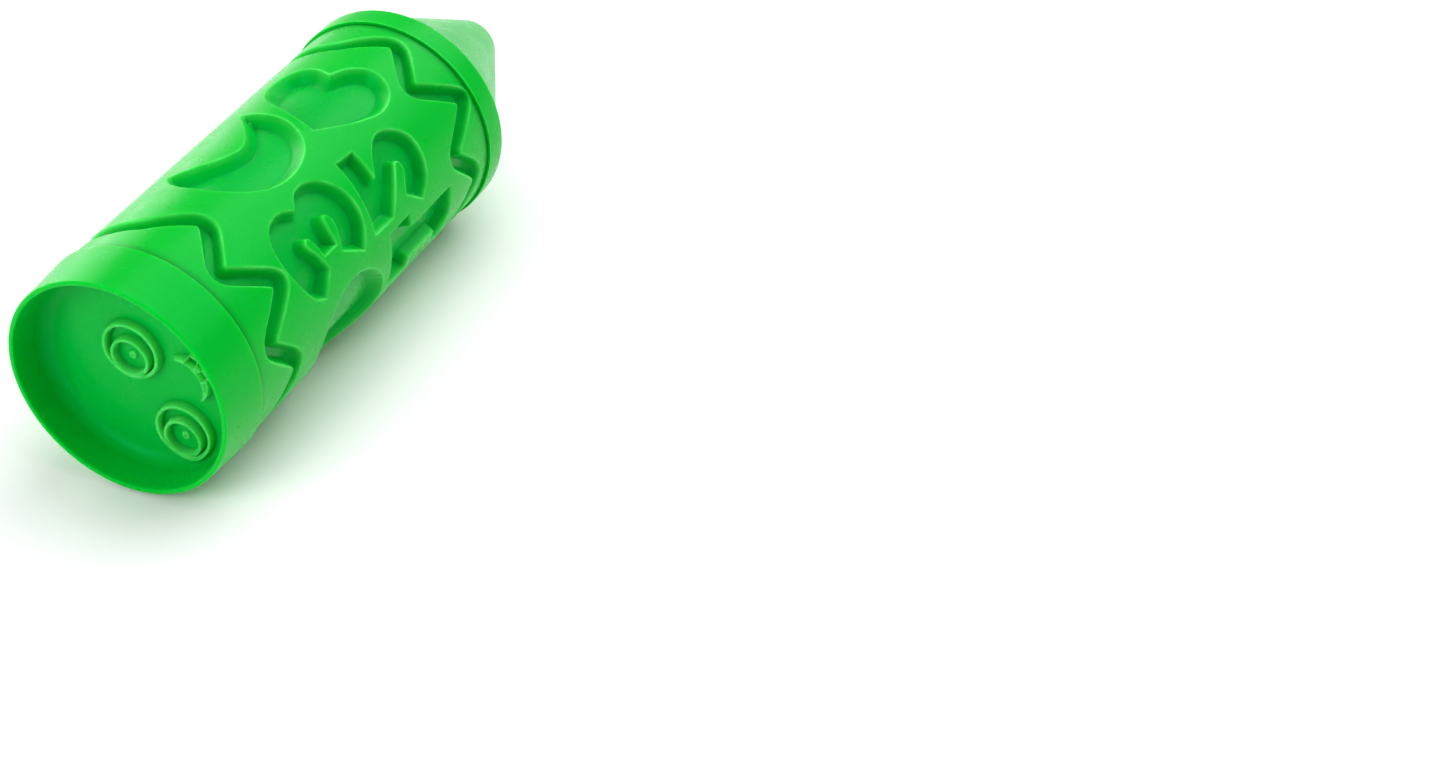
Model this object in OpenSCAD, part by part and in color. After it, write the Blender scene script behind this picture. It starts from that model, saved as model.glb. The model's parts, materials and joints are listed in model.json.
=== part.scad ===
// Crayon-shaped play-sand roller, lying on its side.
// X runs along the roller, from the stamp rim at -X to the nose at +X.
// Y is across, Z is up, and the origin is on the ground under its middle.
// "Along" means millimetres from the stamp rim. An angle round the drum starts
// at the ground and grows towards -Y, so that a pattern rolled out reads rightly.

/* [Drum] */
// Outer radius of the patterned drum
drum_r = 30; // [26:0.5:36]
// Depth of the sunken pattern
recess_depth = 3.6; // [1:0.1:4]
// Wall left under the sunken pattern
skin = 1.8; // [1.2:0.1:3]
// Length of the patterned drum
drum_len = 117; // [117:1:125]

/* [Collars] */
// How far each collar stands proud of the drum
collar_proud = 0.8; // [0.2:0.1:1.5]
// Length of the collar on the stamp cap
stamp_collar = 15; // [13:0.5:18]
// Length of the collar on the nose cap
nose_collar = 7.5; // [5:0.5:12]
// Length of the spigot that each cap pushes into the drum
spigot_len = 12; // [6:1:16]
// Wall of each spigot
spigot_wall = 1.7; // [1.2:0.1:2.5]
// Radial gap round the nose cap's spigot
spigot_gap = 0.3; // [0.1:0.05:0.5]

/* [Stamp cup] */
// Wall at the rim of the stamp cup
rim_wall = 1.35; // [1:0.05:2]
// Depth of the stamp cup
cup_depth = 11; // [8:0.5:12]
// Thickness of the cup's floor
floor_t = 1.8; // [1.2:0.1:2.5]
// Height of the face on the cup's floor
eye_rise = 2.2; // [1:0.1:3]
// Outer radius of each eye
eye_r = 8; // [6.6:0.1:8.5]
// Inner radius of the grin
grin_r = 6.6; // [6:0.1:7]

/* [Nose] */
// Radius of the cone where it leaves the collar
cone_base_r = 28.6; // [24:0.1:29]
// Radius of the blunt tip
cone_tip_r = 8; // [6:0.1:14]
// Length of the cone
cone_len = 41.5; // [25:0.1:50]
// Wall of the cone
cone_wall = 1.8; // [1.2:0.1:2.5]

/* [Zigzag bands] */
// Width of the sunken zigzag line
band_w = 5; // [3:0.1:5.5]
// Distance between the two bands along the drum
band_pitch = 93; // [90:1:95]

/* [Hidden] */
$fn = 96;

eps = 0.01;
plastic = [0, 0.75, 0.24];
collar_r = drum_r + collar_proud;
recess_r = drum_r - recess_depth;
bore_r = recess_r - skin;
drum_from = stamp_collar;
drum_to = drum_from + drum_len;
cone_from = drum_to + nose_collar;
total_len = cone_from + cone_len;
press_gap = 0.05;
edge_round = 1.2;
tip_round = 2.5;

// Points of a quarter-like arc, for rounding a profile's corner.
function arc(c, r, from, to, steps = 6) =
    [for (i = [0:steps]) let (a = from + (to - from) * i / steps) c + r * [cos(a), sin(a)]];

// Turns a profile of [radius, along] points into a solid lying along X.
module turned(profile) {
    translate([-total_len / 2, 0, collar_r])
        rotate([0, 90, 0])
            rotate_extrude()
                polygon(profile);
}

// Stands a flat outline on the drum's wall. Its x is the rolling direction, and its y is along.
module on_drum(angle, along) {
    translate([along - total_len / 2, 0, collar_r])
        rotate([-angle, 0, 0])
            rotate([180, 0, 90])
                translate([0, 0, bore_r])
                    linear_extrude(drum_r)
                        mirror([1, 0])
                            children();
}

// A straight stroke with square ends, from point a to point b.
module bar(a, b, w) {
    d = b - a;
    translate(a)
        rotate(atan2(d.y, d.x))
            translate([0, -w / 2])
                square([norm(d), w]);
}

// A closed outline through hand-placed points. A point with a third value is a sharp corner,
// and the outline runs smoothly through the others.
function xy(p) = [p.x, p.y];
function towards(v, size) = v * size / norm(v);
function hermite(a, b, leave, reach, t) =
    a * (2 * t^3 - 3 * t^2 + 1) + leave * (t^3 - 2 * t^2 + t)
    + b * (3 * t^2 - 2 * t^3) + reach * (t^3 - t^2);
function outline(points, steps = 4) = [
    for (i = [0:len(points) - 1])
        let (n = len(points), p = points[i], q = points[(i + 1) % n], a = xy(p), b = xy(q),
             chord = b - a, size = norm(chord), straight = len(p) > 2 && len(q) > 2,
             leave = len(p) > 2 ? chord : towards(b - xy(points[(i + n - 1) % n]), size),
             reach = len(q) > 2 ? chord : towards(xy(points[(i + 2) % n]) - a, size))
            for (k = [0:(straight ? 0 : steps - 1)]) hermite(a, b, leave, reach, k / steps)];

// Draws an outline of the flat pattern so that a straight-walled recess is true half way down.
module pattern_polygon(points) {
    half_way = drum_r - recess_depth / 2;
    polygon([for (p = points) [half_way * sin(p.x / drum_r * 180 / PI), p.y]]);
}

module star_outline(r, waist, tilt) {
    pattern_polygon([for (i = [0:9]) let (a = 90 + tilt + 36 * i)
        (i % 2 == 0 ? r : waist) * [cos(a), sin(a)]]);
}

module disc_outline(r) {
    pattern_polygon([for (i = [0:47]) r * [cos(7.5 * i), sin(7.5 * i)]]);
}

module box_outline(x, y, w, h) {
    pattern_polygon([[x, y], [x + w, y], [x + w, y + h], [x, y + h]]);
}

// One side of the heart, from its point up to its notch.
heart_side = [[5.4, -12], [11.3, -6.3], [15.6, -0.3], [16.4, 6.3], [13.8, 11.4], [9.2, 13.6], [4, 12.4]];

module heart_outline() {
    pattern_polygon(outline(concat(
        [[0, -16.3, 1]], heart_side, [[0, 9.2, 1]],
        [for (i = [len(heart_side) - 1:-1:0]) [-heart_side[i].x, heart_side[i].y]])));
}

module crescent_outline() {
    pattern_polygon(outline([
        [13.1, 18.4, 1], [6, 18.7], [-3, 17.1], [-10.9, 11.3], [-14.3, 0.5], [-11.8, -10.2],
        [-4, -17.4], [4.5, -19], [10.8, -17.1], [14.3, -13.4, 1], [8.4, -9.2], [3.4, -3.8],
        [1.6, 2.3], [5.6, 9.8]]));
}

module numeral_one() {
    pattern_polygon([
        [-8.9, -16], [8.9, -16], [8.9, -5.3], [5.2, -5.3], [5.2, 16], [-4, 16], [-10, 12.3],
        [-10, 8.2], [-5.2, 8.2], [-5.2, -5.3], [-8.9, -5.3]]);
}

module numeral_two() {
    pattern_polygon(outline([
        [-12.4, 8.8, 1], [-8, 13], [-1.8, 14.8], [4, 14.1], [8.6, 9.7], [9.8, 4.6], [6.6, -1.3],
        [2, -5.5, 1], [10.8, -5.5, 1], [11.5, -12.9, 1], [-9.4, -14.9, 1], [-9.7, -5.7, 1],
        [0.3, 2.8], [1.3, 4.2], [0.3, 5.4], [-1.9, 5.4], [-4.7, 3.5], [-7.5, 2.3, 1]]));
}

module numeral_three() {
    pattern_polygon(outline([
        [-11.1, 12.3, 1], [-5.6, 15.6], [1, 16.5], [7.6, 14.3], [12.1, 9.7], [12.9, 3.8],
        [9.6, -1.2, 1], [11.7, -5.7], [10.9, -11], [7, -15.3], [1.1, -16.6], [-6.1, -14.6],
        [-11.2, -11.1], [-13.1, -7.5, 1], [-7.4, -2.7, 1], [-2.3, -4.6], [1.1, -6.2], [2.5, -5.3],
        [1.7, -4], [-3.9, -2.6, 1], [-4, 3.2, 1], [2.6, 3.7], [3.8, 4.7], [2.9, 5.9],
        [0.6, 6.4], [-6.3, 4, 1]]));
}

module letter_a() {
    difference() {
        pattern_polygon([
            [-14.5, -14], [-8.6, 13.6], [2.8, 13.6], [12.8, -14], [1.8, -14], [1.2, -9.8],
            [-2.6, -9.8], [-3.4, -14]]);
        pattern_polygon([[-5.8, -0.6], [-4.6, 4.4], [-2.6, 4.4], [-0.6, -0.6]]);
    }
}

module letter_b() {
    difference() {
        pattern_polygon(outline([
            [-12, 13.2, 1], [4, 13.2], [9.4, 11], [11, 6.5], [8.4, 0.2, 1], [11.8, -3.6],
            [12.4, -9], [9, -13.8], [3, -15.6], [-12, -15.6, 1]]));
        box_outline(-1.4, 3.8, 3.8, 3.4);
        box_outline(-2.2, -6.8, 4.2, 3.6);
    }
}

module letter_c() {
    pattern_polygon(outline([
        [11.4, 9.4, 1], [6.4, 13.3], [0, 14.6], [-7.6, 12.4], [-13, 6.6], [-14.4, 0], [-12.8, -6.8],
        [-7.4, -12.2], [0, -14.2], [6.6, -12.8], [12, -8.8, 1], [10.6, -1.6, 1], [3.6, -2.4],
        [-0.6, -2.2], [-3.4, 1.4], [-0.8, 4.8], [4, 4.8], [10, 4, 1]]));
}

// One zigzag band, sunk all round the drum. The pattern repeats every half turn.
module zigzag_band(along) {
    // Corners as [angle, along], with a long shallow valley at the end of each half turn
    corners = [[80.2, 33], [101.4, 22.4], [122.1, 35.4], [143.6, 22.1], [165.8, 33.5],
               [190, 26.2], [204, 24.8], [222, 24.8], [236, 26.2], [260.2, 33]];
    mm_per_degree = drum_r * PI / 180;
    // Each joint is a little wider than the line, so that their walls cross and don't just touch
    joint_r = band_w / 2 + 0.15;
    for (turn = [0, 180], i = [0:len(corners) - 2]) {
        a = corners[i];
        b = corners[i + 1];
        half = [(b.x - a.x) * mm_per_degree, b.y - a.y] / 2;
        on_drum(turn + (a.x + b.x) / 2, along + (a.y + b.y) / 2) bar(-half, half, band_w);
        on_drum(turn + a.x, along + a.y) circle(joint_r);
    }
}

// Everything that is sunk into the drum, as solids standing on the recess floor.
module pattern() {
    zigzag_band(0);
    zigzag_band(band_pitch);
    on_drum(63, 60.5) disc_outline(16.4);
    on_drum(80, 95.2) numeral_one();
    on_drum(121, 88.5) numeral_two();
    on_drum(122.5, 55.5) numeral_three();
    on_drum(173.5, 96) rotate(-21) heart_outline();
    on_drum(180.5, 63) crescent_outline();
    on_drum(257, 88.6) letter_a();
    on_drum(300.5, 99.2) star_outline(16.8, 7.4, 7);
    on_drum(309.5, 61.5) letter_b();
    on_drum(355, 85.4) letter_c();
    on_drum(253, 54) rotate(-4) box_outline(-13.7, -11.3, 27.4, 22.6);
    on_drum(356, 49.5) pattern_polygon([[0.5, 18.6], [-16.8, -10.4], [16.2, -10.4]]);
}

// The drum: an open sleeve, with its pattern sunk into the outside.
module drum() {
    color(plastic)
        difference() {
            turned([[bore_r, drum_from], [drum_r, drum_from], [drum_r, drum_to], [bore_r, drum_to]]);
            difference() {
                pattern();
                turned([[0, 0], [recess_r, 0], [recess_r, total_len], [0, total_len]]);
            }
        }
}

// A ring, from the radius of its middle, its wall and its height.
module ring(r, w, h) {
    difference() {
        cylinder(r = r + w / 2, h = h);
        translate([0, 0, -eps]) cylinder(r = r - w / 2, h = h + 2 * eps);
    }
}

// One eye of the stamp face, rooted in the cup's floor. Its inner ring and pupil sit low.
module eye() {
    ring_w = 1.4;
    inner_r = 4.85;
    pupil_r = 1.2;
    pupil_rise = 0.7;
    root = floor_t / 2;
    translate([0, 0, -root]) {
        ring(eye_r - ring_w / 2, ring_w, eye_rise + root);
        translate([-2, 0.4, 0]) {
            ring(inner_r, ring_w, eye_rise + root);
            cylinder(r = pupil_r, h = pupil_rise + root);
        }
    }
}

// A crescent grin whose middle points along x, with two teeth as open frames on its outer side.
module grin() {
    // Each tooth's turn from the middle, and the radius that it reaches
    teeth = [[28.6, 10.6], [-0.4, 9.6]];
    tooth_w = 3.2;
    frame_w = 0.6;
    root = floor_t / 2;
    translate([0, 0, -root])
        linear_extrude(eye_rise + root)
            difference() {
                union() {
                    difference() {
                        translate([2.8, 0]) circle(6.4);
                        circle(grin_r);
                    }
                    for (t = teeth)
                        rotate(t[0]) tooth_box(grin_r, t[1], tooth_w);
                }
                for (t = teeth)
                    rotate(t[0]) tooth_box(grin_r + frame_w, t[1] - frame_w, tooth_w - 2 * frame_w);
            }
}

module tooth_box(from, to, w) {
    translate([from, -w / 2]) square([to - from, w]);
}

// The stamp cap: collar, open cup with the face on its floor, and a spigot pressed into the drum.
module stamp_cap() {
    spigot_r = bore_r - press_gap;
    spigot_in = spigot_r - spigot_wall;
    cup_back = cup_depth + floor_t;
    rim_r = drum_r;
    mouth_r = rim_r - rim_wall;
    cup_floor_r = mouth_r - 0.7;
    corner = 4;
    lip = 0.35;
    color(plastic) {
        turned(concat(
            arc([rim_r - lip, lip], lip, 0, -90),
            arc([mouth_r + lip, lip], lip, -90, -180),
            arc([cup_floor_r - corner, cup_depth - corner], corner, 0, 90),
            [[0, cup_depth], [0, cup_back], [spigot_in, cup_back],
             [spigot_in, drum_from + spigot_len], [spigot_r, drum_from + spigot_len],
             [spigot_r, drum_from], [collar_r, drum_from]]));
        translate([cup_depth - total_len / 2, 0, collar_r])
            rotate([0, -90, 0]) {
                // Here x is up and y is across, as seen from outside the cup
                translate([5, 1.3, 0]) eye();
                translate([-15.6, -10.6, 0]) eye();
                translate([-0.8, -11.2, 0]) rotate(-60.6) grin();
            }
    }
}

// The nose cap: a hollow blunt cone on a collar, with a spigot that pulls out of the drum.
module nose_cap() {
    spigot_r = bore_r - spigot_gap;
    spigot_in = spigot_r - spigot_wall;
    slope = atan2(cone_base_r - cone_tip_r, cone_len);
    wall_step = cone_wall / cos(slope);
    color(plastic)
        turned(concat(
            [[spigot_in, drum_to - spigot_len], [spigot_r, drum_to - spigot_len],
             [spigot_r, drum_to], [collar_r, drum_to]],
            arc([collar_r - edge_round, cone_from - edge_round], edge_round, 0, 90),
            [[cone_base_r, cone_from]],
            arc([cone_tip_r - tip_round, total_len - tip_round], tip_round, slope, 90),
            [[0, total_len], [0, total_len - cone_wall],
             [cone_tip_r - wall_step, total_len - cone_wall],
             [cone_base_r - wall_step, cone_from],
             [spigot_in, cone_from - (cone_base_r - wall_step - spigot_in)]]));
}

drum();
stamp_cap();
nose_cap();
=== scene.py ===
import json
import math

import bmesh
import bpy
import numpy as np
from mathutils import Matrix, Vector
from mathutils.geometry import delaunay_2d_cdt

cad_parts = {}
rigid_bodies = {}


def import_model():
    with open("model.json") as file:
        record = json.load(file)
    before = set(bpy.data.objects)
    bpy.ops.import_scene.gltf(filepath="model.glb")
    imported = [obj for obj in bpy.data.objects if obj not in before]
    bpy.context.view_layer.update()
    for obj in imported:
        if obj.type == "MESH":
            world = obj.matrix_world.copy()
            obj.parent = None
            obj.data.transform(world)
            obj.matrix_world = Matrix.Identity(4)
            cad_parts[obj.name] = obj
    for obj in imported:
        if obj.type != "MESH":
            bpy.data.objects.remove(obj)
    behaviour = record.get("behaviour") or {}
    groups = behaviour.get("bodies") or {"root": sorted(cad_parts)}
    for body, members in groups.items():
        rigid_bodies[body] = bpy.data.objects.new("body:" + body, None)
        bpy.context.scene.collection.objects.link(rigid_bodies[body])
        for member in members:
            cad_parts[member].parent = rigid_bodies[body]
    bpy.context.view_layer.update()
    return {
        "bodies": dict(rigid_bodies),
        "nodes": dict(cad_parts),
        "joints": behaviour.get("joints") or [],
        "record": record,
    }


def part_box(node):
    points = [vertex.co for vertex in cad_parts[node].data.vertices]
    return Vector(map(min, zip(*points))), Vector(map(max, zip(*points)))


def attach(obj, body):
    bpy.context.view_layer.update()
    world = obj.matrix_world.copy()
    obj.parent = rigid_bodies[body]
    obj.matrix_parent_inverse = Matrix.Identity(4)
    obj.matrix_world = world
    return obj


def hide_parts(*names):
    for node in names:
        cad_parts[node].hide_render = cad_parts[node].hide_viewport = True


# Crayon-shaped play-sand roller, moulded in green plastic and lying on its side.
# X runs along the roller from the stamp rim to the nose, and Z is up, as in the CAD frame.
# Sizes are in millimetres, and become metres when a mesh is made. "Along" is measured from
# the stamp rim. A place round the drum is an angle that starts at the ground and grows
# towards -Y, so that the flat pattern here reads as the drum prints it.

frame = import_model()

MM = 0.001
drum_low, drum_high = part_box("drum")
stamp_low, stamp_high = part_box("stamp_cap")
nose_low, nose_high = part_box("nose_cap")
RIM_X = stamp_low.x
AXIS_Z = (stamp_low.z + stamp_high.z) / 2


def in_mm(metres):
    return round(metres / MM, 2)


# The drum and its sunken pattern
DRUM_R = in_mm((drum_high.y - drum_low.y) / 2)
DRUM_FROM = in_mm(drum_low.x - RIM_X)
DRUM_TO = in_mm(drum_high.x - RIM_X)
RECESS_DEPTH = 3.6
SKIN = 1.8
BORE_R = DRUM_R - RECESS_DEPTH - SKIN
END_ROUND = 0.3
EDGE_TOP = 0.24
EDGE_BOTTOM = 0.4
STEEP = 1.1
SLOPED = 2.5
BAND_W = 5
BAND_PITCH = 93
BEND_OUTSIDE = 7.5
BEND_INSIDE = 1.2

# The stamp cap
COLLAR_R = in_mm((stamp_high.z - stamp_low.z) / 2)
RIM_WALL = 1.35
CUP_DEPTH = 11
FLOOR_T = 1.8
CUP_CORNER = 4
SPIGOT_LEN = in_mm(stamp_high.x - drum_low.x)
SPIGOT_WALL = 1.7

# The nose cap
TOTAL_LEN = in_mm(nose_high.x - RIM_X)
CONE_BASE_R = 28.6
CONE_TIP_R = 8
CONE_LEN = 41.5
CONE_WALL = 1.8
SHOULDER_ROUND = 1.2
TIP_ROUND = 2.5

STEP_ROUND = 0.15
ROUND_STEPS = 192


def arc(centre, radius, start, end, steps=8):
    """Points of an arc in a profile, in degrees."""
    angles = np.radians(np.linspace(start, end, steps + 1))
    return [(centre[0] + radius * math.cos(a), centre[1] + radius * math.sin(a)) for a in angles]


# ---------------------------------------------------------------- flat shapes

def outline(points, steps=6):
    """A closed outline through given points. A point with a third value is a sharp corner, and the outline
    runs smoothly through the others."""
    flat = [np.array(p[:2], float) for p in points]
    sharp = [len(p) > 2 for p in points]
    result = []
    for i in range(len(points)):
        before, a, b, after = (flat[(i + k) % len(points)] for k in (-1, 0, 1, 2))
        size = np.linalg.norm(b - a)
        leave = b - a if sharp[i] else (b - before) * size / np.linalg.norm(b - before)
        next_sharp = sharp[(i + 1) % len(points)]
        reach = b - a if next_sharp else (after - a) * size / np.linalg.norm(after - a)
        for t in np.arange(1 if sharp[i] and next_sharp else steps) / steps:
            result.append(a * (2 * t**3 - 3 * t**2 + 1) + leave * (t**3 - 2 * t**2 + t)
                          + b * (3 * t**2 - 2 * t**3) + reach * (t**3 - t**2))
    return result


def rectangle(left, bottom, width, height):
    return [(left, bottom), (left + width, bottom), (left + width, bottom + height), (left, bottom + height)]


def turned_about_origin(points, degrees):
    c, s = math.cos(math.radians(degrees)), math.sin(math.radians(degrees))
    return [(c * p[0] - s * p[1], s * p[0] + c * p[1]) for p in points]


def circle(radius, steps=96):
    angles = np.arange(steps) * 2 * math.pi / steps
    return [(radius * math.cos(a), radius * math.sin(a)) for a in angles]


def star(radius, waist, tilt):
    corners = []
    for i in range(10):
        a = math.radians(90 + tilt + 36 * i)
        r = radius if i % 2 == 0 else waist
        corners.append((r * math.cos(a), r * math.sin(a)))
    return corners


def heart():
    side = [(5.4, -12), (11.3, -6.3), (15.6, -0.3), (16.4, 6.3), (13.8, 11.4), (9.2, 13.6), (4, 12.4)]
    other_side = [(-x, y) for x, y in reversed(side)]
    return outline([(0, -16.3, 1), *side, (0, 9.2, 1), *other_side])


CRESCENT = outline([
    (13.1, 18.4, 1), (6, 18.7), (-3, 17.1), (-10.9, 11.3), (-14.3, 0.5), (-11.8, -10.2), (-4, -17.4),
    (4.5, -19), (10.8, -17.1), (14.3, -13.4, 1), (8.4, -9.2), (3.4, -3.8), (1.6, 2.3), (5.6, 9.8)])
NUMERAL_ONE = [
    (-8.9, -16), (8.9, -16), (8.9, -5.3), (5.2, -5.3), (5.2, 16), (-4, 16), (-10, 12.3), (-10, 8.2),
    (-5.2, 8.2), (-5.2, -5.3), (-8.9, -5.3)]
NUMERAL_TWO = outline([
    (-12.4, 8.8, 1), (-8, 13), (-1.8, 14.8), (4, 14.1), (8.6, 9.7), (9.8, 4.6), (6.6, -1.3),
    (2, -5.5, 1), (10.8, -5.5, 1), (11.5, -12.9, 1), (-9.4, -14.9, 1), (-9.7, -5.7, 1),
    (0.3, 2.8), (1.3, 4.2), (0.3, 5.4), (-1.9, 5.4), (-4.7, 3.5), (-7.5, 2.3, 1)])
NUMERAL_THREE = outline([
    (-11.1, 12.3, 1), (-5.6, 15.6), (1, 16.5), (7.6, 14.3), (12.1, 9.7), (12.9, 3.8),
    (9.6, -1.2, 1), (11.7, -5.7), (10.9, -11), (7, -15.3), (1.1, -16.6), (-6.1, -14.6),
    (-11.2, -11.1), (-13.1, -7.5, 1), (-7.4, -2.7, 1), (-2.3, -4.6), (1.1, -6.2), (2.5, -5.3),
    (1.7, -4), (-3.9, -2.6, 1), (-4, 3.2, 1), (2.6, 3.7), (3.8, 4.7), (2.9, 5.9),
    (0.6, 6.4), (-6.3, 4, 1)])
LETTER_A = [
    (-14.5, -14), (-8.6, 13.6), (2.8, 13.6), (12.8, -14), (1.8, -14), (1.2, -9.8), (-2.6, -9.8), (-3.4, -14)]
LETTER_A_HOLE = [(-5.8, -0.6), (-4.6, 4.4), (-2.6, 4.4), (-0.6, -0.6)]
LETTER_B = outline([
    (-12, 13.2, 1), (4, 13.2), (9.4, 11), (11, 6.5), (8.4, 0.2, 1), (11.8, -3.6),
    (12.4, -9), (9, -13.8), (3, -15.6), (-12, -15.6, 1)])
LETTER_C = outline([
    (11.4, 9.4, 1), (6.4, 13.3), (0, 14.6), (-7.6, 12.4), (-13, 6.6), (-14.4, 0), (-12.8, -6.8),
    (-7.4, -12.2), (0, -14.2), (6.6, -12.8), (12, -8.8, 1), (10.6, -1.6, 1), (3.6, -2.4),
    (-0.6, -2.2), (-3.4, 1.4), (-0.8, 4.8), (4, 4.8), (10, 4, 1)])
TRIANGLE = [(0.5, 18.6), (-16.8, -10.4), (16.2, -10.4)]

# One half turn of the zigzag's middle line, as (angle, along). The long valley is smooth.
ZIGZAG = [(80.2, 34.2), (101.4, 21.2), (122.1, 36.9), (143.6, 20.8), (165.8, 34.8), (190, 26.4), (203, 24.9),
          (213, 24.6), (223, 24.9), (236, 26.4)]


def zigzag_band(along):
    """The closed outline of a zigzag line, wider than the drum's whole turn. Each bend is sharp on
    its inside and well rounded on its outside."""
    middle = np.array([(math.radians(angle + turn) * DRUM_R, along + y)
                       for turn in (-180, 0, 180, 360) for angle, y in ZIGZAG])
    step = np.diff(middle, axis=0)
    step /= np.linalg.norm(step, axis=1)[:, None]
    normal = np.stack([-step[:, 1], step[:, 0]], 1)
    bend = (step[:-1, 0] * step[1:, 1] - step[:-1, 1] * step[1:, 0])
    mitre = normal[:-1] + normal[1:]
    mitre *= BAND_W / (mitre**2).sum(1)[:, None]
    corners = middle[1:-1]
    upper = softened(corners + mitre, np.where(bend < -0.5, BEND_OUTSIDE, BEND_INSIDE))
    lower = softened(corners - mitre, np.where(bend > 0.5, BEND_OUTSIDE, BEND_INSIDE))
    return [*upper, *lower[::-1]]


def softened(corners, cuts):
    """An open line whose corners are replaced by curves that start the given distance away."""
    line = [corners[0]]
    for before, corner, after, reach in zip(corners, corners[1:], corners[2:], cuts[1:]):
        a = corner + (before - corner) * reach / np.linalg.norm(before - corner)
        b = corner + (after - corner) * reach / np.linalg.norm(after - corner)
        for t in np.linspace(0, 1, 7):
            line.append(a * (1 - t)**2 + 2 * corner * t * (1 - t) + b * t**2)
    return [*line, corners[-1]]


# Further than this from an outline, only the side matters
FAR = 4
STRIP = 6
# Half the width of a painted highlight along an edge, and the width of the painted shade in the seam beside
# a collar
HIGHLIGHT_WIDTH = 0.22
SEAM_WIDTH = 1.6


class Outline:
    """A closed outline in the plane."""

    def __init__(self, path):
        self.starts = np.array([p[:2] for p in path], float)
        self.ends = np.roll(self.starts, -1, axis=0)

    def depth_inside(self, points):
        """How far each point is inside the outline, negative outside it, and no more than FAR.
        It is found strip by strip along x, because only the nearby stretches of the outline matter."""
        low = np.minimum(self.starts, self.ends)
        high = np.maximum(self.starts, self.ends)
        inside = np.full(len(points), -float(FAR))
        near = ((points > low.min(0) - FAR) & (points < high.max(0) + FAR)).all(1)
        for left in np.arange(low[:, 0].min() - FAR, high[:, 0].max() + FAR, STRIP):
            chosen = np.flatnonzero(near & (points[:, 0] >= left) & (points[:, 0] < left + STRIP))
            local = (high[:, 0] > left - FAR) & (low[:, 0] < left + STRIP + FAR)
            if len(chosen) and local.any():
                inside[chosen] = self.signed_distance(points[chosen], self.starts[local], self.ends[local])
        return inside

    @staticmethod
    def signed_distance(points, a, b):
        """Distance from each point to the nearest stretch from a to b, positive where a line
        straight up from the point crosses an odd number of them."""
        p = points[:, None, :]
        step = b - a
        share = ((p - a) * step).sum(2) / (step**2).sum(1)
        gap = p - a - share.clip(0, 1)[..., None] * step
        distance = np.sqrt((gap**2).sum(2).min(1)).clip(0, FAR)
        run = np.where(step[:, 0] == 0, 1, step[:, 0])
        crossing_y = a[:, 1] + (p[..., 0] - a[:, 0]) * step[:, 1] / run
        spans = (a[:, 0] > p[..., 0]) != (b[:, 0] > p[..., 0])
        odd = (spans & (p[..., 1] < crossing_y)).sum(1) % 2 == 1
        return np.where(odd, distance, -distance)

    def points_near(self, depth, spacing):
        """Points that lie that far inside the outline, and a few that don't. They run beside each
        straight stretch, and in fans round the sharp corners."""
        step = self.ends - self.starts
        length = np.linalg.norm(step, axis=1)
        normal = np.stack([-step[:, 1], step[:, 0]], 1) / length[:, None]
        points = [self.starts]
        for a, move, size, out in zip(self.starts, step, length, normal):
            count = max(1, math.ceil(size / spacing))
            shares = (np.arange(count) + 0.5) / count
            for side in (-depth, depth):
                points.append(a + shares[:, None] * move + side * out)
        sharp = (normal * np.roll(normal, 1, axis=0)).sum(1) < 0.97
        turns = np.linspace(0, 2 * math.pi, 48, endpoint=False)
        fan = depth * np.stack([np.cos(turns), np.sin(turns)], 1)
        points.append((self.starts[sharp][:, None, :] + fan).reshape(-1, 2))
        return np.concatenate(points)


class Relief:
    """A sunk or raised shape: outlines joined together, less some holes. Its wall slopes over the
    width `wall`, and is rounded where it starts and where it ends."""

    def __init__(self, outlines, holes, wall, height, start_round, end_round, highlight_at=0):
        self.outlines, self.holes = outlines, holes
        self.wall, self.height = wall, height
        self.start_round, self.end_round = start_round, end_round
        self.highlight_at = highlight_at

    def depth_inside(self, points):
        inside = np.max([shape.depth_inside(points) for shape in self.outlines], axis=0)
        for hole in self.holes:
            inside = np.minimum(inside, -hole.depth_inside(points))
        return inside

    def profile(self, inside):
        """The height or depth of the surface, that far inside the shape."""
        rising = knee(inside, self.start_round) - knee(inside - self.wall, self.end_round)
        return self.height * rising / self.wall

    def painted_light(self, inside):
        """How strongly a highlight is painted on the surface, from nought to one on the sharp edge of its
        wall.
        """
        return np.exp(-((inside - self.highlight_at) / HIGHLIGHT_WIDTH)**2)

    def mesh_points(self, spacing):
        """Points along every level of the shape's wall."""
        start, end = self.start_round, self.end_round
        levels = [*np.linspace(-start, start, 5), (start + self.wall - end) / 2,
                  *np.linspace(self.wall - end, self.wall + end, 5), -start - 0.2]
        found = []
        for level in levels:
            near = [shape.points_near(level, spacing) for shape in self.outlines]
            near += [hole.points_near(-level, spacing) for hole in self.holes]
            points = np.concatenate(near)
            found.append(points[abs(self.depth_inside(points) - level) < 0.002])
        return np.concatenate(found)

    def covers(self, points, clearance):
        """Which points lie so near the wall that its own mesh points serve there."""
        inside = self.depth_inside(points)
        before = -self.start_round - 0.2 - clearance
        return (inside > before) & (inside < self.wall + self.end_round + clearance)


def knee(x, r):
    """Nought below -r, x above r, and a parabola between them."""
    return np.where(x <= -r, 0, np.where(x >= r, x, (x + r)**2 / (4 * r)))


def thinned(points, cell):
    """Keeps one point in each small square of the plane."""
    _, first = np.unique(np.round(points / cell).astype(int), axis=0, return_index=True)
    return points[np.sort(first)]


def triangulated(points):
    """Delaunay triangles over a cloud of flat points, all facing the same way."""
    flat, _, faces, *_ = delaunay_2d_cdt([tuple(p) for p in points], [], [], 0, 1e-5)
    return np.array(flat), np.array(faces)


# ---------------------------------------------------------------- meshes

def round_axis(radius, along, angle):
    """A point in metres, from its radius and along in millimetres and its angle round the axis."""
    radius, along, angle = np.broadcast_arrays(radius, along, angle)
    return np.stack([RIM_X + along * MM, -radius * np.sin(angle) * MM,
                     AXIS_Z - radius * np.cos(angle) * MM], -1)


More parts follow.
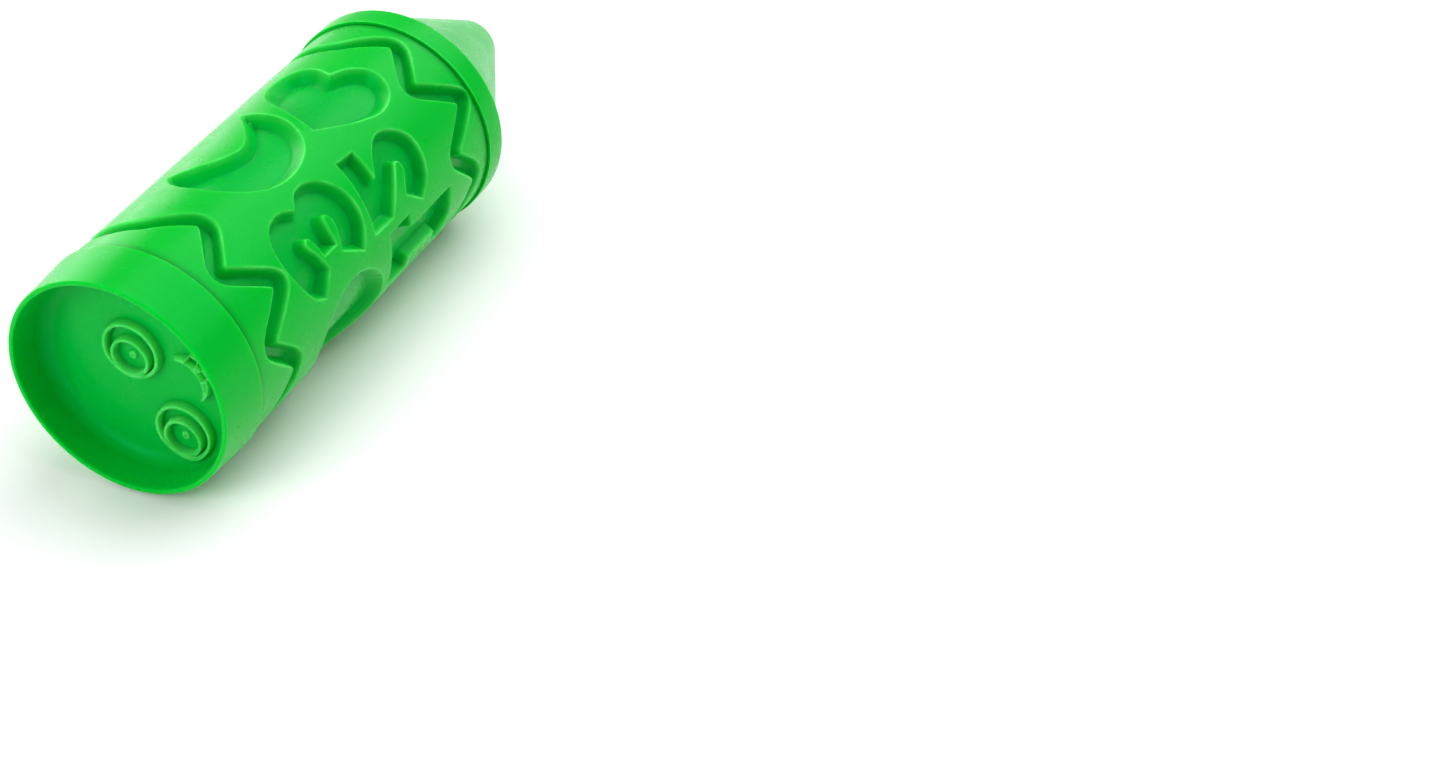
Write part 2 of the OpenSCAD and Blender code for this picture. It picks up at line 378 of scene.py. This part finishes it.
def make_piece(name, vertices, faces, painted_light, node, body, material):
    """Makes a welded, smooth-shaded mesh that stands for a CAD node."""
    mesh = bpy.data.meshes.new(name)
    mesh.from_pydata([tuple(v) for v in vertices], [], faces)
    # This attribute carries painted highlights along edges, and painted shade in the seams where it is below
    # nought
    mesh.attributes.new("painted_light", "FLOAT", "POINT").data.foreach_set("value", np.array(painted_light, np.float32))
    piece = bpy.data.objects.new(name, mesh)
    bpy.context.scene.collection.objects.link(piece)
    weld_and_orient(mesh)
    mesh.shade_smooth()
    mesh.set_sharp_from_angle(angle=math.radians(42))
    mesh.materials.append(material)
    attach(piece, body)
    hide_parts(node)


def weld_and_orient(mesh):
    work = bmesh.new()
    work.from_mesh(mesh)
    bmesh.ops.remove_doubles(work, verts=work.verts, dist=1e-6)
    bmesh.ops.dissolve_degenerate(work, edges=work.edges, dist=1e-7)
    bmesh.ops.recalc_face_normals(work, faces=work.faces)
    work.to_mesh(mesh)
    work.free()


def lathe(profile):
    """A profile of (radius, along) points turned round the axis. A third value says how strongly a highlight
    is painted at the point. A point on the axis becomes a ring of no size, which the weld closes."""
    turns = np.arange(ROUND_STEPS) * 2 * math.pi / ROUND_STEPS
    radius, along, painted_light = np.array([(*point, 0)[:3] for point in profile], float).T
    vertices = round_axis(radius[:, None], along[:, None], turns[None, :]).reshape(-1, 3)
    faces = []
    for ring in range(len(profile) - 1):
        for i in range(ROUND_STEPS):
            a, b = ring * ROUND_STEPS + i, ring * ROUND_STEPS + (i + 1) % ROUND_STEPS
            faces.append((a, b, b + ROUND_STEPS, a + ROUND_STEPS))
    return vertices, faces, np.repeat(painted_light, ROUND_STEPS)


def highlighted_arc(*shape):
    """An arc with a highlight painted along its middle."""
    points = arc(*shape)
    return [(x, y, math.sin(math.pi * i / (len(points) - 1))) for i, (x, y) in enumerate(points)]


def drum_reliefs():
    """Everything that is sunk into the drum, placed in the flat pattern: x is the distance round."""
    def sunk(degrees, along, wall, path, *holes):
        shift = np.array([math.radians(degrees) * DRUM_R, along])
        outer, *inner = [Outline([np.array(p[:2]) + shift for p in each]) for each in (path, *holes)]
        return Relief([outer], inner, wall, RECESS_DEPTH, EDGE_TOP, EDGE_BOTTOM)

    square = rectangle(-13.7, -11.3, 27.4, 22.6)
    reliefs = [
        sunk(63, 60.5, SLOPED, circle(16.4)),
        sunk(80, 95.2, STEEP, NUMERAL_ONE),
        sunk(121, 88.5, STEEP, NUMERAL_TWO),
        sunk(122.5, 55.5, STEEP, NUMERAL_THREE),
        sunk(173.5, 96, SLOPED, turned_about_origin(heart(), -21)),
        sunk(180.5, 63, SLOPED, CRESCENT),
        sunk(257, 88.6, STEEP, LETTER_A, LETTER_A_HOLE),
        sunk(300.5, 99.2, STEEP, star(16.8, 7.4, 7)),
        sunk(309.5, 61.5, STEEP, LETTER_B, rectangle(-1.4, 3.8, 3.8, 3.4), rectangle(-2.2, -6.8, 4.2, 3.6)),
        sunk(355, 85.4, STEEP, LETTER_C),
        sunk(253, 54, SLOPED, turned_about_origin(square, -4)),
        sunk(356, 49.5, SLOPED, TRIANGLE),
    ]
    for band in (0, BAND_PITCH):
        reliefs.append(Relief([Outline(zigzag_band(band))], [], STEEP, RECESS_DEPTH, EDGE_TOP, EDGE_BOTTOM))
    return reliefs


def drum_mesh():
    """The patterned wall, its two end faces and the bore, as one closed surface."""
    reliefs = drum_reliefs()
    seam = math.radians(29) * DRUM_R
    around = 2 * math.pi * DRUM_R
    far = seam + around
    ends = [DRUM_FROM, DRUM_TO]
    end_rows = [row for end, into in zip(ends, (1, -1)) for row in
                (end, end + into * END_ROUND / 3, end + into * END_ROUND, end + into * 0.6, end + into)]

    columns = np.arange(DRUM_FROM + 1.4, DRUM_TO - 1.2, 0.4)
    rows = np.linspace(seam, far, 251)[1:-1]
    edge = [(x, y) for x in (seam, far) for y in (*end_rows, *columns)]
    edge += [(x, y) for y in end_rows for x in rows]
    fill_rows = np.arange(DRUM_FROM + 1.5, DRUM_TO - 1.3, 0.9)
    fill = np.array([(x + 0.5 * (j % 2), y) for j, y in enumerate(fill_rows)
                     for x in np.arange(seam + 0.8, far - 1, 1.0)])
    for relief in reliefs:
        fill = fill[~relief.covers(fill, 0.4)]
    wall = thinned(np.concatenate([relief.mesh_points(0.55) for relief in reliefs]), 0.12)
    wall = wall[(wall[:, 0] > seam + 0.2) & (wall[:, 0] < far - 0.2)]
    flat, triangles = triangulated(np.concatenate([edge, wall, fill]))

    depth = np.zeros(len(flat))
    # Painted highlights along the recess edges
    painted_light = np.zeros(len(flat))
    for relief in reliefs:
        inside = relief.depth_inside(flat)
        depth = np.maximum(depth, relief.profile(inside))
        painted_light = np.maximum(painted_light, relief.painted_light(inside))
    from_end = np.minimum(flat[:, 1] - DRUM_FROM, DRUM_TO - flat[:, 1])
    near_end = from_end.clip(0, END_ROUND)
    depth += END_ROUND - np.sqrt(END_ROUND**2 - (END_ROUND - near_end)**2)
    # Painted shade in the seams beside the collars, stored below nought
    painted_light -= np.exp(-(from_end / SEAM_WIDTH)**2)
    outside = round_axis(DRUM_R - depth, flat[:, 1], flat[:, 0] / DRUM_R)

    # Each end's outer edge, in order round the drum, with the bore's edge behind it
    loops = []
    for end in ends:
        at_end = np.flatnonzero(abs(flat[:, 1] - end) < 1e-4)
        loops.append(at_end[np.argsort(flat[at_end, 0])])
    angles = flat[loops[0], 0] / DRUM_R
    bore = [round_axis(BORE_R, end, angles) for end in ends]
    vertices = np.concatenate([outside, *bore])
    count = len(angles)
    first = len(outside)
    faces = [tuple(int(i) for i in t) for t in triangles]
    for loop, start in zip(loops, (first, first + count)):
        faces += [(int(loop[i]), int(loop[i + 1]), start + i + 1, start + i) for i in range(count - 1)]
    faces += [(first + i, first + i + 1, first + count + i + 1, first + count + i) for i in range(count - 1)]
    return vertices, faces, np.concatenate([painted_light, np.zeros(2 * count)])


# ---------------------------------------------------------------- the stamp face

# Across and up from the roller's axis
EYES = [(1.3, 5), (-10.6, -15.6)]
EYE_LOW = (0.4, -2)
GRIN_AT = (-11.2, -0.8)
GRIN_TURN = 150.6
GRIN_R = 6.6
FACE_RISE = 2.2


def raised(outlines, holes, rise=FACE_RISE):
    wall = 0.3
    return Relief(outlines, holes, wall, rise, 0.12, 0.1, highlight_at=wall)


def eye_reliefs(across, up):
    """Two rings and a low pupil. The inner ring sits low inside the outer one."""
    def disc(x, y, radius):
        return Outline([(x + px, y + py) for px, py in circle(radius)])

    low = (across + EYE_LOW[0], up + EYE_LOW[1])
    return [raised([disc(across, up, 8)], [disc(across, up, 6.6)]),
            raised([disc(*low, 5.55)], [disc(*low, 4.15)]),
            raised([disc(*low, 1.2)], [], 0.7)]


def grin_relief():
    """A crescent with two teeth as open frames on its outer side, drawn with its middle along x."""
    def placed(path):
        return Outline([np.array(p) + GRIN_AT for p in turned_about_origin(path, GRIN_TURN)])

    def tooth(turn, start, end, width):
        return placed(turned_about_origin(rectangle(start, -width / 2, end - start, width), turn))

    bulge, bulge_r = 2.8, 6.4
    tip_x = (GRIN_R**2 - bulge_r**2 + bulge**2) / (2 * bulge)
    tip_y = math.sqrt(GRIN_R**2 - tip_x**2)
    inner = math.degrees(math.atan2(tip_y, tip_x))
    outer = math.degrees(math.atan2(tip_y, tip_x - bulge))
    crescent = arc((0, 0), GRIN_R, -inner, inner, 30) + arc((bulge, 0), bulge_r, outer, -outer, 40)[1:-1]
    teeth = [(-28.6, 10.6), (0.4, 9.6)]
    frame = 0.6
    return raised([placed(crescent), *[tooth(turn, GRIN_R, reach, 3.2) for turn, reach in teeth]],
                  [tooth(turn, GRIN_R + frame, reach - frame, 2) for turn, reach in teeth])


def stamp_mesh():
    """The stamp cap: a lathe for its walls, closed by the cup's floor with the face on it."""
    rim_r = DRUM_R
    lip = 0.45
    mouth_r = rim_r - RIM_WALL
    floor_r = mouth_r - 0.7
    flat_r = floor_r - CUP_CORNER
    fillet_turn = 75
    disc_r = flat_r + CUP_CORNER * math.sin(math.radians(fillet_turn))
    fillet = arc((flat_r, CUP_DEPTH - CUP_CORNER), CUP_CORNER, 90 - fillet_turn, 0)
    spigot_r = BORE_R - 0.05
    spigot_in = spigot_r - SPIGOT_WALL
    back = CUP_DEPTH + FLOOR_T
    inner_wall = [(floor_r + (mouth_r - floor_r) * t, (CUP_DEPTH - CUP_CORNER) * (1 - t) + lip * t)
                  for t in np.linspace(0.1, 0.95, 10)]
    outside = [(rim_r + (COLLAR_R - rim_r) * t, lip + (DRUM_FROM - STEP_ROUND - lip) * t)
               for t in np.linspace(0.05, 0.97, 12)]
    spigot = [(spigot_r, DRUM_FROM), (spigot_r, DRUM_FROM + SPIGOT_LEN - 0.4),
              (spigot_r - 0.4, DRUM_FROM + SPIGOT_LEN), (spigot_in, DRUM_FROM + SPIGOT_LEN),
              (spigot_in, back + 0.6), (spigot_in - 0.6, back), (12, back), (0, back)]
    walls, faces, painted_light = lathe([
        *fillet, *inner_wall,
        *arc((mouth_r + lip, lip), lip, 180, 270), *arc((rim_r - lip, lip), lip, -90, 0),
        *outside, *highlighted_arc((COLLAR_R - STEP_ROUND, DRUM_FROM - STEP_ROUND), STEP_ROUND, 0, 90), *spigot])

    turns = np.arange(ROUND_STEPS) * 2 * math.pi / ROUND_STEPS
    ring = np.stack([-np.sin(turns), -np.cos(turns)], 1)
    reliefs = [relief for centre in EYES for relief in eye_reliefs(*centre)] + [grin_relief()]
    grid = np.array([(x + 0.4 * (j % 2), y) for j, y in enumerate(np.arange(-28, 28, 0.7))
                     for x in np.arange(-28, 28, 0.8)])
    for relief in reliefs:
        grid = grid[~relief.covers(grid, 0.3)]
    face_points = thinned(np.concatenate([relief.mesh_points(0.3) for relief in reliefs]), 0.06)
    fillet_points = [(flat_r + CUP_CORNER * math.sin(math.radians(turn))) * ring
                     for turn in range(0, fillet_turn - 4, 10)]
    cloud = np.concatenate([face_points, grid, *fillet_points])
    cloud = cloud[np.linalg.norm(cloud, axis=1) < disc_r - 0.1]
    flat, triangles = triangulated(np.concatenate([disc_r * ring, cloud]))

    over = (np.linalg.norm(flat, axis=1) - flat_r).clip(0)
    rise = np.zeros(len(flat))
    # Painted highlights along the edges of the raised face
    face_highlight = np.zeros(len(flat))
    for relief in reliefs:
        inside = relief.depth_inside(flat)
        rise = np.maximum(rise, relief.profile(inside))
        face_highlight = np.maximum(face_highlight, relief.painted_light(inside))
    height = rise + CUP_CORNER - np.sqrt(CUP_CORNER**2 - over**2)
    disc = np.stack([RIM_X + (CUP_DEPTH - height) * MM, flat[:, 0] * MM, AXIS_Z + flat[:, 1] * MM], 1)
    faces += [tuple(int(i) + len(walls) for i in t) for t in triangles]
    return np.concatenate([walls, disc]), faces, np.concatenate([painted_light, face_highlight])


def nose_mesh():
    """The nose cap: collar, blunt cone and spigot, hollow inside."""
    spigot_r = BORE_R - 0.3
    spigot_in = spigot_r - SPIGOT_WALL
    cone_from = TOTAL_LEN - CONE_LEN
    slope = math.degrees(math.atan2(CONE_BASE_R - CONE_TIP_R, CONE_LEN))
    wall_step = CONE_WALL / math.cos(math.radians(slope))
    front = DRUM_TO - SPIGOT_LEN
    tip = arc((CONE_TIP_R - TIP_ROUND, TOTAL_LEN - TIP_ROUND), TIP_ROUND, slope, 90)
    cone = [(CONE_BASE_R + (tip[0][0] - CONE_BASE_R) * t, cone_from + (tip[0][1] - cone_from) * t)
            for t in np.linspace(0, 0.98, 16)]
    profile = [
        (spigot_in, front), (spigot_r - 0.4, front), (spigot_r, front + 0.4), (spigot_r, DRUM_TO),
        *highlighted_arc((COLLAR_R - STEP_ROUND, DRUM_TO + STEP_ROUND), STEP_ROUND, -90, 0),
        *arc((COLLAR_R - SHOULDER_ROUND, cone_from - SHOULDER_ROUND), SHOULDER_ROUND, 0, 90),
        *cone, *tip, (3, TOTAL_LEN), (0, TOTAL_LEN), (0, TOTAL_LEN - CONE_WALL),
        (CONE_TIP_R - wall_step, TOTAL_LEN - CONE_WALL), (CONE_BASE_R - wall_step, cone_from),
        (spigot_in, cone_from - (CONE_BASE_R - wall_step - spigot_in)), (spigot_in, front)]
    return lathe(profile)


# ---------------------------------------------------------------- material

def add_node(material, kind, settings=(), **inputs):
    """Adds a shader node. Its inputs are given by name, with _ for a space, as a value or a socket."""
    made = material.node_tree.nodes.new(kind)
    for name, value in settings:
        setattr(made, name, value)
    for name, value in inputs.items():
        socket = made.inputs[name.replace("_", " ")]
        if isinstance(value, bpy.types.NodeSocket):
            material.node_tree.links.new(value, socket)
        else:
            socket.default_value = value
    return made


def mixed(material, blend, factor, a, b):
    """The colour socket of a Mix node."""
    mix = add_node(material, "ShaderNodeMix", [("data_type", "RGBA"), ("blend_type", blend)])
    sockets = {"Factor": mix.inputs[0], "A": mix.inputs[6], "B": mix.inputs[7]}
    for name, value in (("Factor", factor), ("A", a), ("B", b)):
        if isinstance(value, bpy.types.NodeSocket):
            material.node_tree.links.new(value, sockets[name])
        else:
            sockets[name].default_value = value
    return mix.outputs[2]


def green_plastic():
    """Glossy, faintly translucent moulded plastic, with painted shade that makes it a little bluer and
    duller where it is sunken, painted highlights along its edges, and painted shade in the seams beside the
    collars."""
    material = bpy.data.materials.new("green_plastic")
    material.use_nodes = True
    shader = material.node_tree.nodes["Principled BSDF"]
    shader.inputs["Specular IOR Level"].default_value = 0.2
    shader.inputs["Specular Tint"].default_value = (0.0, 1.0, 0.4, 1)
    shader.inputs["IOR"].default_value = 1.5
    shader.inputs["Subsurface Weight"].default_value = 1.0
    shader.inputs["Subsurface Radius"].default_value = (0.1, 1.0, 0.15)
    shader.inputs["Subsurface Scale"].default_value = 0.0025

    place = add_node(material, "ShaderNodeTexCoord").outputs["Object"]

    # Distance from the roller's axis, to tell the land from the sunken floors. The floors and the cup get a
    # darker, bluer colour as painted shade.
    from_axis = add_node(material, "ShaderNodeVectorMath", [("operation", "SUBTRACT")])
    from_axis.inputs[1].default_value = (0, 0, AXIS_Z)
    across = add_node(material, "ShaderNodeVectorMath", [("operation", "MULTIPLY")])
    across.inputs[1].default_value = (0, 1, 1)
    radius = add_node(material, "ShaderNodeVectorMath", [("operation", "LENGTH")])
    links = material.node_tree.links
    links.new(place, from_axis.inputs[0])
    links.new(from_axis.outputs["Vector"], across.inputs[0])
    links.new(across.outputs["Vector"], radius.inputs[0])
    height = add_node(material, "ShaderNodeMapRange", Value=radius.outputs["Value"],
                  From_Min=(DRUM_R - RECESS_DEPTH) * MM, From_Max=DRUM_R * MM)
    # Painted shade: darker and bluer below the land, in the recesses and inside the cup
    colour = mixed(material, "MIX", height.outputs["Result"],
                   (0.0, 0.43, 0.040, 1), (0.0, 0.47, 0.025, 1))

    # Faint clouds in the colour, as moulded plastic has
    clouds = add_node(material, "ShaderNodeTexNoise", Vector=place, Scale=28, Detail=3)
    tint = add_node(material, "ShaderNodeMapRange", Value=clouds.outputs["Fac"], To_Min=0.93, To_Max=1.07)
    colour = mixed(material, "MULTIPLY", 1, colour, tint.outputs["Result"])

    # Painted highlights along the edges, paler and uneven
    painted_light = add_node(material, "ShaderNodeAttribute", [("attribute_name", "painted_light")]).outputs["Fac"]
    highlight_breakup = add_node(material, "ShaderNodeTexNoise", Vector=place, Scale=90, Detail=4)
    uneven = add_node(material, "ShaderNodeMapRange", Value=highlight_breakup.outputs["Fac"],
                  From_Min=0.35, From_Max=0.65, To_Min=0.25, To_Max=0.65)
    highlight_amount = add_node(material, "ShaderNodeMath", [("operation", "MULTIPLY")])
    links.new(painted_light, highlight_amount.inputs[0])
    links.new(uneven.outputs["Result"], highlight_amount.inputs[1])
    colour = mixed(material, "MIX", highlight_amount.outputs["Value"], colour, (0.16, 0.80, 0.22, 1))

    # Painted shade in the seams beside the collars, where the value is below nought
    seam_shade = add_node(material, "ShaderNodeMapRange", Value=painted_light,
                    From_Min=0, From_Max=-1, To_Min=0, To_Max=0.75)
    colour = mixed(material, "MIX", seam_shade.outputs["Result"], colour, (0.0, 0.13, 0.006, 1))
    links.new(colour, shader.inputs["Base Color"])

    # Gloss broken up by handling marks, and a faint moulded waviness with a fine grain
    wear = add_node(material, "ShaderNodeTexNoise", Vector=place, Scale=140, Detail=5)
    gloss = add_node(material, "ShaderNodeMapRange", Value=wear.outputs["Fac"],
                 From_Min=0.3, From_Max=0.7, To_Min=0.24, To_Max=0.34)
    links.new(gloss.outputs["Result"], shader.inputs["Roughness"])
    waves = add_node(material, "ShaderNodeTexNoise", Vector=place, Scale=60, Detail=1)
    grain = add_node(material, "ShaderNodeTexNoise", Vector=place, Scale=2500, Detail=2)
    bump = add_node(material, "ShaderNodeBump", Strength=0.1, Distance=0.0002, Height=waves.outputs["Fac"])
    fine = add_node(material, "ShaderNodeBump", Strength=0.12, Distance=0.00003, Height=grain.outputs["Fac"],
                Normal=bump.outputs["Normal"])
    links.new(fine.outputs["Normal"], shader.inputs["Normal"])
    return material


# ---------------------------------------------------------------- stage, light and camera

def pale_floor():
    material = bpy.data.materials.new("pale_floor")
    material.use_nodes = True
    shader = material.node_tree.nodes["Principled BSDF"]
    shader.inputs["Base Color"].default_value = (0.9, 0.9, 0.9, 1)
    shader.inputs["Roughness"].default_value = 0.9
    mesh = bpy.data.meshes.new("floor")
    size = 6
    corners = [(-size, -size, 0), (size, -size, 0), (size, size, 0), (-size, size, 0)]
    mesh.from_pydata(corners, [], [(0, 1, 2, 3)])
    mesh.materials.append(material)
    floor = bpy.data.objects.new("floor", mesh)
    bpy.context.scene.collection.objects.link(floor)


def softbox(name, towards, distance, size, power):
    """A square area light that looks at the roller from the given direction."""
    light = bpy.data.lights.new(name, "AREA")
    light.size = size
    light.energy = power
    box = bpy.data.objects.new(name, light)
    direction = np.array(towards, float)
    direction = direction / np.linalg.norm(direction)
    box.location = direction * distance
    box.rotation_mode = "QUATERNION"
    box.rotation_quaternion = Vector(direction).to_track_quat("Z", "Y")
    bpy.context.scene.collection.objects.link(box)


def studio():
    world = bpy.data.worlds.new("studio")
    world.use_nodes = True
    world.node_tree.nodes["Background"].inputs["Color"].default_value = (1, 1, 1, 1)
    world.node_tree.nodes["Background"].inputs["Strength"].default_value = 0.33
    bpy.context.scene.world = world
    softbox("key", (0.4, -0.25, 0.87), 1.2, 1.5, 18)
    softbox("left", (0.35, 1.0, 0.25), 1.0, 0.9, 6.5)
    softbox("front", (-1.0, 0.3, 0.6), 1.4, 0.9, 11)
    bpy.context.scene.view_settings.view_transform = "Standard"


def camera():
    data = bpy.data.cameras.new("camera")
    data.lens = 66.8
    data.sensor_width = 36
    data.clip_start = 0.01
    data.clip_end = 20
    view = bpy.data.objects.new("camera", data)
    heading, looking_down = 23.33, 36.46
    view.location = (-0.49655, -0.3298, 0.4062)
    view.rotation_euler = (math.radians(90 - looking_down), 0, math.radians(heading - 90))
    bpy.context.scene.collection.objects.link(view)
    bpy.context.scene.camera = view


plastic = green_plastic()
make_piece("patterned_drum", *drum_mesh(), "drum", "roller", plastic)
make_piece("stamp_end", *stamp_mesh(), "stamp_cap", "roller", plastic)
make_piece("pointed_nose", *nose_mesh(), "nose_cap", "nose", plastic)
pale_floor()
studio()
camera()
